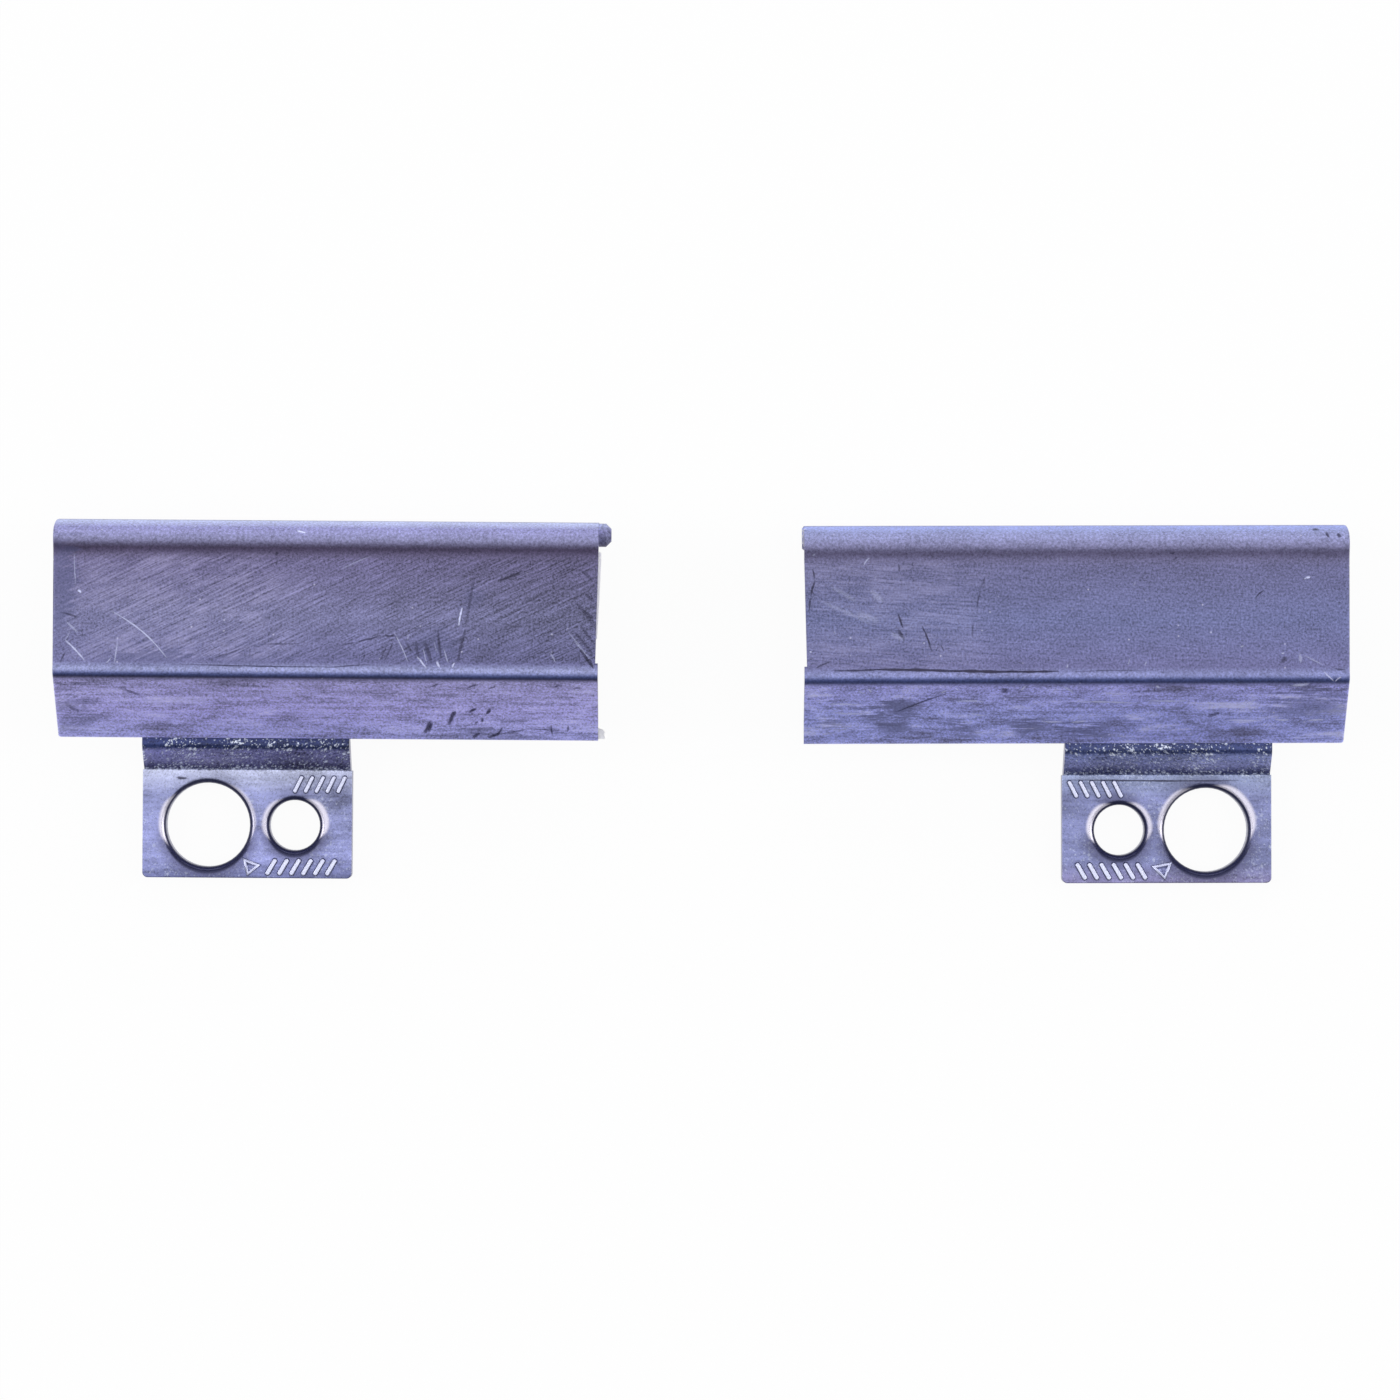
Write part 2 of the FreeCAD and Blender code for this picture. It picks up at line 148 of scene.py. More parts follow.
def new_material(name):
    material = bpy.data.materials.new(name)
    material.use_nodes = True
    material.node_tree.nodes.clear()
    return material, Nodes(material.node_tree)


def cover_place(nodes, side):
    """A place on a cover in its own millimetres, taken from the object's coordinates."""
    cover = COVERS[side]
    base = (cover["base"][0] * MM, cover["base"][1] * MM, 0)
    inputs = {
        "Vector": nodes.add("TexCoord").outputs["Object"],
        "Location": base,
        "Rotation": (0, 0, cover["turn"]),
        "Scale": (cover["hand"] * MM, MM, MM),
    }
    return nodes.add("Mapping", inputs, vector_type="TEXTURE").outputs[0]


def finish_shader(nodes, height, depth, inputs):
    """The material's shader, with a bump that is a given depth in millimetres."""
    bump = nodes.add("Bump", {"Height": height, "Distance": depth * MM, "Strength": 1.0})
    shader = nodes.add("BsdfPrincipled", {**inputs, "Normal": bump.outputs[0]})
    nodes.tree.links.new(shader.outputs[0], nodes.add("OutputMaterial").inputs["Surface"])


# Scratches and chips, lighter than the paint: start u and v, end u and v, half width, strength and any bow
LIGHT_MARKS = {
    "left": (
        (2.69, 4.31, 5.43, 6.64, 0.05, 0.75, -0.25),
        (0.54, 5.64, 1.58, 6.76, 0.06, 0.8),
        (3.03, 5.72, 2.95, 6.89, 0.05, 0.5),
        (1.03, 1.6, 1.04, 3.24, 0.04, 0.4),
        (1.14, 3.38, 1.37, 3.52, 0.07, 1.0),
        (19.22, 4.0, 19.08, 4.99, 0.06, 1.0),
        (11.4, 0.49, 11.91, 0.68, 0.06, 1.0),
        (3.84, 0.31, 3.98, 0.5, 0.06, 0.5),
        (6.42, 0.48, 6.84, 0.24, 0.06, 0.5),
        (16.03, 5.15, 16.7, 6.7, 0.04, 0.55),
        (17.07, 6.37, 17.64, 6.97, 0.06, 0.85),
        (18.06, 6.55, 18.2, 6.97, 0.07, 0.85),
        (18.77, 6.96, 18.91, 6.63, 0.06, 0.85),
        (18.34, 5.98, 18.63, 6.73, 0.05, 0.45),
        (16.74, 5.33, 16.65, 5.62, 0.04, 0.4),
        (23.32, 6.13, 23.65, 6.65, 0.05, 0.4),
        (24.44, 5.56, 25.34, 6.49, 0.05, 0.35),
        (0.63, 4.8, 1.2, 5.45, 0.07, 0.4),
        (0.82, 5.26, 0.64, 5.73, 0.05, 0.3),
        (2.48, 6.85, 2.8, 6.47, 0.04, 0.5),
        (13.48, 2.31, 14.97, 1.69, 0.05, 0.25),
        (17.36, 5.97, 17.62, 6.75, 0.035, 0.45),
        (17.93, 5.61, 18.08, 6.31, 0.03, 0.3),
        (24.13, 5.09, 25.26, 6.49, 0.035, 0.3),
    ),
    "right": (
        (22.85, 1.97, 22.52, 1.46, 0.05, 0.5),
        (25.24, 1.45, 25.1, 1.31, 0.05, 0.4),
        (13.6, 1.71, 13.51, 1.52, 0.04, 0.4),
        (2.15, 2.63, 2.01, 2.49, 0.05, 0.6),
        (2.1, 2.49, 1.82, 2.49, 0.06, 1.0),
        (2.34, 6.01, 2.34, 6.57, 0.1, 0.4),
        (2.25, 6.15, 1.17, 6.62, 0.05, 0.35),
        (1.27, 6.85, 0.74, 7.42, 0.05, 0.7),
        (0.74, 7.42, 0.37, 7.14, 0.05, 0.7),
        (2.79, 7.6, 1.86, 7.46, 0.09, 0.6),
        (10.47, 6.65, 10.28, 6.23, 0.04, 0.5),
        (9.62, 6.7, 9.53, 6.37, 0.04, 0.4),
        (13.33, 6.78, 13.24, 6.5, 0.05, 0.5),
        (25.35, 5.91, 25.3, 6.01, 0.06, 0.9),
        (5.16, 5.81, 4.97, 5.67, 0.05, 0.45),
        (3.24, 6.05, 3.05, 6.05, 0.06, 0.6),
        (9.14, 7.54, 8.89, 7.73, 0.06, 0.6),
        (2.0, 9.35, 1.92, 9.21, 0.06, 0.45),
        (21.59, 5.03, 20.89, 5.45, 0.16, 0.26),
        (23.23, 4.13, 22.06, 4.56, 0.2, 0.26),
        (22.53, 3.05, 21.87, 3.62, 0.18, 0.28),
        (24.9, 3.5, 22.3, 4.75, 0.12, 0.22),
        (24.4, 2.9, 23.1, 3.6, 0.14, 0.2),
        (10.22, 2.94, 10.04, 2.66, 0.05, 0.2),
        (19.22, 7.9, 18.85, 7.76, 0.06, 0.5),
        (24.5, 8.43, 22.92, 8.39, 0.06, 0.55),
        (24.41, 8.78, 22.47, 8.88, 0.06, 0.55),
        (18.53, 8.26, 17.03, 8.31, 0.06, 0.55),
        (17.88, 8.88, 16.91, 8.93, 0.06, 0.50),
        (14.43, 9.2, 13.28, 9.29, 0.06, 0.60),
        (13.1, 8.32, 9.75, 8.37, 0.06, 0.55),
        (9.59, 8.28, 7.39, 8.25, 0.06, 0.55),
        (13.05, 9.25, 12.08, 9.25, 0.06, 0.60),
        (5.82, 9.22, 3.88, 9.2, 0.06, 0.55),
        (3.43, 9.15, 2.64, 9.19, 0.06, 0.70),
        (1.85, 9.21, 0.96, 9.2, 0.06, 0.70),
        (4.86, 8.52, 4.32, 8.16, 0.06, 0.55),
        (23.11, 7.75, 22.73, 7.94, 0.06, 0.55),
        (22.64, 7.65, 22.44, 7.89, 0.06, 0.55),
        (18.55, 7.62, 18.31, 7.76, 0.06, 0.60),
        (15.49, 7.76, 15.17, 7.58, 0.06, 0.60),
        (13.52, 7.58, 12.89, 7.91, 0.06, 0.55),
    ),
}
# Scores, rubs and cracks, darker than the paint
DARK_MARKS = {
    "left": (
        (20.85, 2.82, 22.07, 2.34, 0.08, 0.8),
        (19.0, 6.77, 19.41, 5.03, 0.09, 0.45),
        (19.41, 5.03, 19.77, 2.4, 0.09, 0.3),
        (18.12, 5.09, 18.22, 6.54, 0.08, 0.5),
        (17.44, 5.61, 17.83, 6.78, 0.12, 0.4),
        (17.02, 5.61, 17.26, 6.55, 0.1, 0.35),
        (16.6, 5.62, 16.79, 6.18, 0.08, 0.3),
        (24.39, 5.09, 25.43, 6.26, 0.08, 0.4),
        (24.76, 4.85, 25.52, 5.79, 0.08, 0.4),
        (24.52, 3.68, 25.56, 5.08, 0.12, 0.35),
        (24.74, 2.27, 25.4, 2.74, 0.12, 0.35),
        (24.94, 3.3, 25.55, 3.86, 0.1, 0.35),
        (24.9, 4.15, 25.56, 4.71, 0.1, 0.35),
        (24.68, 5.93, 25.53, 6.96, 0.09, 0.45),
        (25.01, 6.26, 25.53, 7.05, 0.09, 0.45),
        (13.5, 5.92, 14.3, 5.73, 0.04, 0.5),
        (14.3, 5.73, 15.47, 5.39, 0.05, 0.6),
        (15.47, 5.39, 16.22, 5.48, 0.05, 0.6),
        (14.68, 6.19, 14.54, 6.71, 0.05, 0.4),
        (15.57, 6.66, 15.99, 5.72, 0.05, 0.4),
        (15.39, 6.61, 15.76, 5.81, 0.05, 0.35),
        (9.75, 5.9, 11.62, 5.79, 0.04, 0.45),
        (7.17, 6.63, 9.51, 5.9, 0.05, 0.35),
        (0.35, 4.42, 1.29, 4.7, 0.06, 0.4),
        (0.64, 6.2, 0.36, 6.86, 0.06, 0.4),
        (17.72, 7.77, 18.19, 7.67, 0.06, 0.5),
        (19.41, 7.9, 19.98, 7.66, 0.06, 0.55),
        (20.44, 7.89, 20.87, 7.7, 0.06, 0.5),
        (23.5, 7.77, 23.93, 7.68, 0.06, 0.45),
        (24.4, 7.91, 24.87, 7.72, 0.06, 0.4),
        (17.34, 10.04, 17.73, 9.37, 0.12, 0.7),
        (17.56, 9.99, 17.79, 9.47, 0.1, 0.7),
        (18.57, 9.65, 18.78, 8.89, 0.12, 0.65),
        (18.71, 9.08, 18.95, 8.98, 0.1, 0.6),
        (19.49, 9.03, 19.92, 8.79, 0.1, 0.75),
        (20.33, 9.12, 20.53, 8.78, 0.1, 0.75),
        (20.07, 9.45, 20.22, 9.26, 0.08, 0.6),
        (19.78, 9.55, 19.93, 9.4, 0.08, 0.5),
        (20.52, 10.11, 20.91, 9.97, 0.08, 0.5),
        (19.6, 10.2, 20.07, 9.97, 0.12, 0.6),
        (20.83, 10.16, 21.08, 9.63, 0.07, 0.6),
        (20.3, 10.16, 20.83, 10.06, 0.07, 0.6),
        (23.44, 10.09, 23.4, 9.52, 0.05, 0.6),
        (24.2, 9.94, 24.16, 9.51, 0.05, 0.5),
        (21.02, 9.97, 22.4, 9.77, 0.04, 0.45),
        (22.4, 9.77, 23.82, 9.85, 0.04, 0.4),
        (5.74, 6.85, 13.06, 6.9, 0.04, 0.55),
        (12.7, 6.92, 15.03, 6.8, 0.04, 0.5),
        (3.03, 7.97, 4.13, 8.29, 0.08, 0.4),
        (0.42, 8.65, 1.13, 9.11, 0.1, 0.3),
        (10.42, 1.72, 10.61, 1.53, 0.07, 0.5),
        (10.52, 2.19, 10.47, 1.95, 0.05, 0.35),
        (5.46, 12.19, 6.03, 12.26, 0.08, 0.75),
    ),
    "right": (
        (25.25, 2.02, 25.11, 2.58, 0.05, 0.6),
        (25.11, 2.58, 25.3, 3.38, 0.07, 0.7),
        (25.3, 3.38, 25.44, 4.08, 0.06, 0.6),
        (21.21, 1.79, 21.12, 2.26, 0.06, 0.5),
        (20.55, 1.79, 20.46, 1.98, 0.05, 0.5),
        (20.65, 2.03, 20.6, 2.21, 0.05, 0.4),
        (21.26, 4.14, 20.93, 4.89, 0.06, 0.75),
        (21.21, 4.84, 20.93, 5.41, 0.1, 0.6),
        (20.09, 4.7, 19.62, 5.97, 0.06, 0.7),
        (19.43, 5.97, 19.34, 5.64, 0.04, 0.35),
        (19.2, 5.55, 19.06, 6.02, 0.05, 0.5),
        (17.5, 4.0, 17.36, 3.07, 0.05, 0.45),
        (17.36, 3.07, 17.12, 2.36, 0.05, 0.35),
        (17.74, 5.41, 17.65, 4.47, 0.05, 0.3),
        (25.12, 6.76, 24.32, 6.34, 0.05, 0.5),
        (24.4, 6.83, 21.6, 6.78, 0.06, 0.7),
        (22.4, 6.77, 18.2, 6.9, 0.08, 1.0),
        (18.9, 6.89, 15.6, 6.88, 0.09, 1.0),
        (16.2, 6.87, 13.6, 6.92, 0.07, 0.9),
        (4.45, 3.47, 4.03, 3.09, 0.05, 0.7),
        (8.48, 1.39, 8.2, 1.3, 0.06, 0.5),
        (8.34, 1.63, 8.06, 1.58, 0.06, 0.45),
        (1.16, 0.42, 0.95, 0.64, 0.11, 0.7),
        (0.6, 0.42, 0.4, 0.64, 0.1, 0.65),
        (1.75, 0.22, 1.39, 0.3, 0.08, 0.65),
        (3.19, 6.57, 3.0, 6.19, 0.16, 0.45),
        (0.8, 6.76, 0.14, 6.86, 0.06, 0.5),
        (21.43, 8.83, 18.91, 7.92, 0.05, 0.6),
        (16.41, 7.81, 15.94, 7.76, 0.14, 0.45),
        (6.64, 9.01, 5.94, 8.87, 0.1, 0.5),
        (13.14, 6.92, 9.39, 6.84, 0.03, 0.45),
        (13.26, 12.07, 4.58, 12.09, 0.05, 0.7),
    ),
}


# How far along v the ramps of tones reach
RAMP_DEPTH = 17.0
# Zones of the shell from its back face to its foot: where each lies along v, and its tone on the left and
# the right cover. The tones carry painted light: painted shade in the cove, at the back of the panel, at
# the front of the lip and in the groove, painted highlights on the back face, the bead, the lip and the
# foot, and a flange painted lighter as a painted reflection.
UPPER = {
    "back face": (0.0, (205, 215, 255), (170, 185, 255)),
    "bead": (0.4, (155, 155, 205), (155, 160, 205)),
    "front of the bead": (0.9, (145, 145, 185), (140, 140, 180)),
    "cove": (1.34, (85, 75, 105), (110, 105, 140)),
    "back of the panel": (2.0, (110, 105, 145), (105, 105, 145)),
    "panel": (4.5, (120, 120, 160), (110, 115, 160)),
    "front of the panel": (6.7, (110, 110, 155), (110, 110, 155)),
    "lip": (7.06, (160, 165, 210), (145, 150, 200)),
    "front of the lip": (7.28, (90, 100, 155), (85, 95, 150)),
    "groove": (7.42, (20, 20, 60), (40, 50, 95)),
    "back of the flange": (7.6, (165, 160, 215), (155, 155, 220)),
    "flange": (9.0, (175, 170, 235), (150, 155, 220)),
    "front of the flange": (10.1, (170, 170, 235), (145, 150, 215)),
    "foot": (10.4, (180, 180, 255), (180, 185, 255)),
}
# The same for the ledge, the web and the tab below the foot; the ledge is dark bare plastic with a painted
# shadow under the flange, the foot of the web is painted shade in the crease, and the back of the tab is a
# painted highlight.
LOWER = {
    "ledge": (10.3, (40, 50, 105), (50, 60, 110)),
    "front of the ledge": (10.76, (50, 60, 105), (60, 70, 115)),
    "back of the web": (10.92, (130, 130, 190), (135, 145, 200)),
    "web": (11.35, (130, 130, 180), (140, 145, 195)),
    "foot of the web": (11.74, (55, 55, 100), (55, 60, 110)),
    "back of the tab": (11.86, (195, 200, 230), (145, 155, 190)),
    "tab": (13.0, (140, 145, 190), (125, 130, 175)),
    "front of the tab": (16.0, (155, 160, 215), (125, 130, 175)),
    "front edge": (16.9, (115, 120, 170), (135, 130, 175)),
}
# Middle u and v, and radius, of the holes in each tab
HOLES = {
    "left": {"boss": (6.99, 14.45, 2.0), "pin": (11.13, 14.45, 1.2)},
    "right": {"boss": (6.39, 14.45, 2.0), "pin": (10.53, 14.45, 1.2)},
}
# Painted highlights in crescents beside a hole: the way each lies, in degrees from the inner end towards
# the back, its half spread, where it starts and ends beyond the hole, and its strength
HIGHLIGHT_CRESCENTS = {
    "left": {
        "boss": ((172, 44, 0.1, 0.42, 0.9), (24, 52, 0.16, 0.4, 0.75)),
        "pin": ((162, 60, 0.15, 0.45, 0.8), (20, 56, 0.14, 0.55, 0.85)),
    },
    "right": {
        "boss": ((28, 52, 0.1, 0.44, 0.85), (146, 54, 0.15, 0.54, 0.85)),
        "pin": ((22, 60, 0.12, 0.48, 0.95), (154, 58, 0.17, 0.48, 0.8)),
    },
}
# Wear of each cover: angle and depth of the panel's brush marks, depth of the flange's level rubs and of
# the cloudy patches, soil on the panel towards the inner end, grime and pale rubs on the flange, how much
# the tab darkens towards the inner end, and a light haze on the panel, with its first and last u and its
# strength
WEAR = {
    "left": {
        "brush": math.radians(26), "brush_depth": 1.2, "rub_depth": 0.7, "clouds": 0.85,
        "soil": 0.3, "grime": 0.25, "pale": 0.3, "tab_fade": 0.24, "haze": (1.0, 11.0, 0.3),
    },
    "right": {
        "brush": math.radians(4), "brush_depth": 0.45, "rub_depth": 0.55, "clouds": 1.05,
        "soil": 0.04, "grime": 0.45, "pale": 0.6, "tab_fade": 0.0, "haze": (17.5, 26.0, 0.2),
    },
}
# Soft bruises with ragged borders: middle u and v, half width along u and v, and strength
BRUISES = {
    "left": (
        (4.6, 6.5, 2.2, 0.45, 0.4),
        (9.2, 6.5, 2.4, 0.4, 0.25),
        (0.4, 3.2, 0.75, 2.6, 0.5),
        (0.9, 8.7, 1.1, 0.5, 0.4),
        (1.0, 9.6, 1.0, 0.4, 0.4),
        (20.0, 10.2, 5.5, 0.4, 0.3),
        (18.0, 5.9, 1.4, 0.9, 0.35),
        (19.7, 3.6, 0.6, 0.6, 0.3),
    ),
    "right": (
        (21.0, 8.65, 1.0, 0.45, 0.75),
        (22.3, 8.95, 0.9, 0.25, 0.7),
        (21.3, 9.55, 1.0, 0.4, 0.65),
        (15.0, 9.45, 1.0, 0.45, 0.75),
        (18.2, 9.6, 0.7, 0.4, 0.6),
        (24.4, 9.3, 0.8, 0.3, 0.5),
        (12.6, 9.65, 1.7, 0.32, 0.7),
        (1.9, 8.5, 2.2, 0.7, 0.5),
    ),
}
# Where specks crowd together on each web, from one u to another
CROWDS = {
    "left": ((4.9, 6.4), (8.0, 8.8), (12.1, 12.9)),
    "right": ((3.4, 4.4), (6.4, 7.4), (8.3, 9.0), (9.8, 10.6)),
}
# How dark the painted shade on the tab is round its holes, in front of them and behind them
HALOS = {"left": (0.68, 0.25), "right": (0.68, 0.7)}
# Stretches of the section along v, and where the web turns into the tab
PANEL_SPAN = (1.7, 6.7)
FLANGE_SPAN = (7.55, 10.4)
WEB_FOOT_SPAN = (11.66, 11.84)
WEB_END = 11.75
TAB_START = 11.95
# How far the border between web and tab strays
BORDER_STRAY = 0.16
# Along u: where brush marks grow to full depth, where soil starts on the panel, and where the tab darkens
BRUSH_GROWTH = (0.0, 8.0)
SOIL_START = 9.0
TAB_FADE_SPAN = (8.0, 13.0)
# How much soil darkens the stub
STUB_SOIL = 0.3
# Tones of what lies on the paint, of the painted shade and highlights at the holes, and of the plastic
# inside
GRIME = tone(88, 86, 116)
PALE_RUB = tone(206, 206, 232)
HAZE = tone(182, 178, 212)
BRUISED = tone(84, 88, 130)
DUST = tone(220, 219, 242)
SPECK = tone(228, 236, 255)
HOLE_SHADE = tone(66, 64, 96)
RIM_SHADE = tone(34, 36, 72)
RIM_HIGHLIGHT = tone(236, 231, 244)
INSIDE = tone(112, 111, 150)
# A bruise is full out to one share of its half width, and gone at another
BRUISE_FULL = 0.45
BRUISE_GONE = 1.2
# Layers of specks: cells in a millimetre, and how rare a cell with a speck is
SPECK_LAYERS = ((4.5, 0.9), (8.0, 0.82), (13.0, 0.76))
DUST_CELLS = 2.6
# The dark rim of a hole, which is painted shade: its width at the sides, how much wider it is in front and
# behind, and how much it gains in front and loses behind
RIM_WIDTH = 0.2
RIM_ENDS = 0.12
RIM_FRONT = 0.08
# The painted shade round a hole is gone at one distance from it, and full at another
HALO_GONE = 0.95
HALO_FULL = 0.15
# How soft a painted highlight crescent is on its side towards the hole, and on its far side
CRESCENT_EDGE = 0.03
CRESCENT_FADE = 0.2
# How rough the zones are, before the grain adds to it
SHELL_ROUGHNESS = 0.36
TAB_ROUGHNESS = 0.22
BEAD_ROUGHNESS = 0.5


def depth_stops(zones, side):
    """Ramp stops from the zones of the section, with one cover's tones."""
    stops = []
    for v, left, right in zones.values():
        colour = left if side == "left" else right
        stops.append((v / RAMP_DEPTH, tone(*colour)))
    return stops


def bruise(nodes, place, rows):
    """How much a place is bruised."""
    total = 0.0
    for u, v, half_u, half_v, strength in rows:
        away = nodes.vector("SUBTRACT", place, (u, -v, 0))
        scaled = nodes.vector("MULTIPLY", away, (1 / half_u, 1 / half_v, 0))
        share = nodes.vector("LENGTH", scaled, out="Value")
        fade = nodes.ease(share, BRUISE_GONE, BRUISE_FULL)
        total = nodes.maths("MAXIMUM", nodes.times(fade, strength), total)
    return total


def overspray(nodes, place, u, v, grain, crowds):
    """Light specks of many sizes, in crowds and along the tab's back edge."""
    shaken = nodes.vector("ADD", place, nodes.swing(grain, 0.12))
    # A crowd raises the chance that a cell holds a speck
    crowd = nodes.swing(nodes.noise(place, 0.8, 3.0, 0.7), 0.6)
    crowd = nodes.plus(crowd, nodes.times(nodes.band(v, *WEB_FOOT_SPAN, 0.05), 0.22))
    for first, last in crowds:
        crowd = nodes.plus(crowd, nodes.times(nodes.band(u, first, last, 0.5), 0.17))
    masks = []
    for cells_in_mm, rarity in SPECK_LAYERS:
        cells = nodes.add("TexVoronoi", {"Vector": shaken, "Scale": cells_in_mm}).outputs
        chance = nodes.add("SeparateXYZ", {0: cells["Color"]}).outputs["X"]
        near = nodes.ease(cells["Distance"], 0.46, 0.2)
        masks.append(nodes.times(near, nodes.ease(nodes.plus(chance, crowd), rarity, rarity + 0.1)))
    return nodes.greatest(masks)


def dust(nodes, place):
    """A few small light specks, far apart."""
    cells = nodes.add("TexVoronoi", {"Vector": place, "Scale": DUST_CELLS}).outputs
    chance = nodes.add("SeparateXYZ", {0: cells["Color"]}).outputs["X"]
    return nodes.times(nodes.ease(cells["Distance"], 0.15, 0.07), nodes.ease(chance, 0.86, 0.95))


def highlight_crescent(nodes, way, outside, row):
    """Where one painted highlight beside a hole is bright, in a crescent widest in its middle and gone at
    both ends.
    """
    angle, spread, start, end, strength = row
    towards = (math.cos(math.radians(angle)), math.sin(math.radians(angle)), 0)
    likeness = nodes.vector("DOT_PRODUCT", way, towards, out="Value")
    middle = nodes.ease(likeness, math.cos(math.radians(spread)), 1.0)
    reach = nodes.maths("MULTIPLY_ADD", middle, end - start, start)
    inner = nodes.ease(outside, start - CRESCENT_EDGE, start + CRESCENT_EDGE)
    outer = nodes.ease(outside, reach, nodes.maths("SUBTRACT", reach, CRESCENT_FADE))
    return nodes.times(inner, outer, strength)


def rims(nodes, place, side):
    """Painted shade in the dark rims of holes, painted highlights on the rims, and painted shade round them
    on the tab.
    """
    darks = []
    brights = []
    halos = []
    in_front, behind = HALOS[side]
    for name, (u, v, radius) in HOLES[side].items():
        away = nodes.vector("MULTIPLY", nodes.vector("SUBTRACT", place, (u, -v, 0)), (1, 1, 0))
        outside = nodes.maths("SUBTRACT", nodes.vector("LENGTH", away, out="Value"), radius)
        way = nodes.vector("NORMALIZE", away)
        # 1 straight behind the hole and -1 straight in front of it
        back = nodes.add("SeparateXYZ", {0: way}).outputs["Y"]
        # The dark rim is painted shade, wider in front and behind
        least = nodes.maths("MULTIPLY_ADD", back, -RIM_FRONT, RIM_WIDTH)
        width = nodes.maths("MULTIPLY_ADD", nodes.times(back, back), RIM_ENDS, least)
        darks.append(nodes.ease(outside, width, nodes.times(width, 0.65)))
        # Painted shade on the tab in front of and behind the hole
        front_shade = nodes.times(nodes.ease(back, 0.2, -0.4), in_front)
        back_shade = nodes.times(nodes.ease(back, 0.65, 0.95), behind)
        around = nodes.plus(front_shade, back_shade)
        halos.append(nodes.times(nodes.ease(outside, HALO_GONE, HALO_FULL), around))
        # Painted highlights on the rim, in crescents
        brights += [highlight_crescent(nodes, way, outside, row) for row in HIGHLIGHT_CRESCENTS[side][name]]
    return nodes.greatest(darks), nodes.greatest(brights), nodes.greatest(halos)


def shared_textures(nodes, place, brush_angle):
    """Grain of the paint, cloudy patches, brush marks and level rubs, which the whole finish shares."""
    return {
        "grain": nodes.noise(place, 9.0, 2.0, 0.8),
        "cloud": nodes.noise(nodes.stretched(place, 0.0, 0.35, 0.75), 1.0, 4.0, 0.7),
        "brushed": nodes.noise(nodes.stretched(place, brush_angle, 0.5, 11.0), 1.0, 3.0, 0.65),
        "rubbed": nodes.noise(nodes.stretched(place, 0.0, 0.3, 5.5), 1.0, 3.0, 0.65),
    }


def shell_shade(nodes, wear, u, on_panel, on_flange, textures):
    """How light the shell's paint is, from grain, streaks, cloudy patches and soil."""
    cloud = textures["cloud"]
    # Brush marks are deeper where clouds are light, and away from the outer end
    worn = nodes.times(nodes.ease(cloud, 0.3, 0.6), nodes.ease(u, *BRUSH_GROWTH))
    brushing = nodes.swing(textures["brushed"], wear["brush_depth"])
    streaks = nodes.plus(
        nodes.times(on_panel, brushing, nodes.maths("MULTIPLY_ADD", worn, 0.7, 0.4)),
        nodes.times(on_flange, nodes.swing(textures["rubbed"], wear["rub_depth"])),
    )
    # Cloudy patches are strongest on the flange
    cloudy = nodes.maths("MULTIPLY_ADD", on_flange, 0.65, 0.35)
    patches = nodes.times(nodes.swing(cloud, wear["clouds"]), cloudy)
    panel_soil = nodes.times(on_panel, nodes.ease(u, SOIL_START, LENGTH), -wear["soil"])
    stub_soil = nodes.times(nodes.ease(u, LENGTH, LENGTH + 0.2), -STUB_SOIL)
    soil = nodes.plus(panel_soil, stub_soil)
    # Grain is a little stronger on the panel and the flange
    grain_share = nodes.maths("MULTIPLY_ADD", nodes.plus(on_panel, on_flange), 0.3, 1.0)
    grains = nodes.times(nodes.swing(textures["grain"], 1.0), grain_share)
    return nodes.maths("MAXIMUM", nodes.plus(grains, streaks, patches, soil, 1.0), 0.2)


def shell_paint(nodes, side, place, u, v, textures):
    """Worn paint on the shell, in bands along its section, with painted shade and highlights in the bands.
    """
    wear = WEAR[side]
    cloud = textures["cloud"]
    brushed = textures["brushed"]
    rubbed = textures["rubbed"]
    on_panel = nodes.band(v, *PANEL_SPAN, 0.25)
    on_flange = nodes.band(v, *FLANGE_SPAN, 0.1)
    shade = shell_shade(nodes, wear, u, on_panel, on_flange, textures)
    # The bands hold painted shade and painted highlights as well as the paint's own tone
    bands = nodes.ramp(nodes.maths("DIVIDE", v, RAMP_DEPTH), depth_stops(UPPER, side))
    colour = nodes.tinted(bands, shade)

    # On the flange, grime lies where rubs and clouds are dark, and pale rubs where they are light
    rubs = nodes.maths("MULTIPLY_ADD", rubbed, 0.5, cloud)
    grime = nodes.times(on_flange, nodes.ease(rubs, 0.72, 0.55), wear["grime"])
    colour = nodes.mix(grime, colour, GRIME)
    pale = nodes.times(on_flange, nodes.ease(rubs, 0.77, 0.99), wear["pale"])
    colour = nodes.mix(pale, colour, PALE_RUB)

    # Haze shows on the panel where brush marks and clouds are light
    first, last, strength = wear["haze"]
    on_haze = nodes.times(on_panel, nodes.band(u, first, last, 2.5))
    haze = nodes.times(on_haze, nodes.ease(nodes.plus(brushed, cloud), 0.85, 1.25), strength)
    colour = nodes.mix(haze, colour, HAZE)

    # Noise shifts the place where bruises are looked up, so that their borders are ragged
    shake = nodes.plus(nodes.swing(cloud, 1.0), nodes.swing(rubbed, 1.1), nodes.swing(brushed, 0.7))
    ragged_place = nodes.vector("ADD", place, shake)
    colour = nodes.mix(bruise(nodes, ragged_place, BRUISES[side]), colour, BRUISED)
    return nodes.mix(nodes.times(dust(nodes, place), 0.5), colour, DUST)


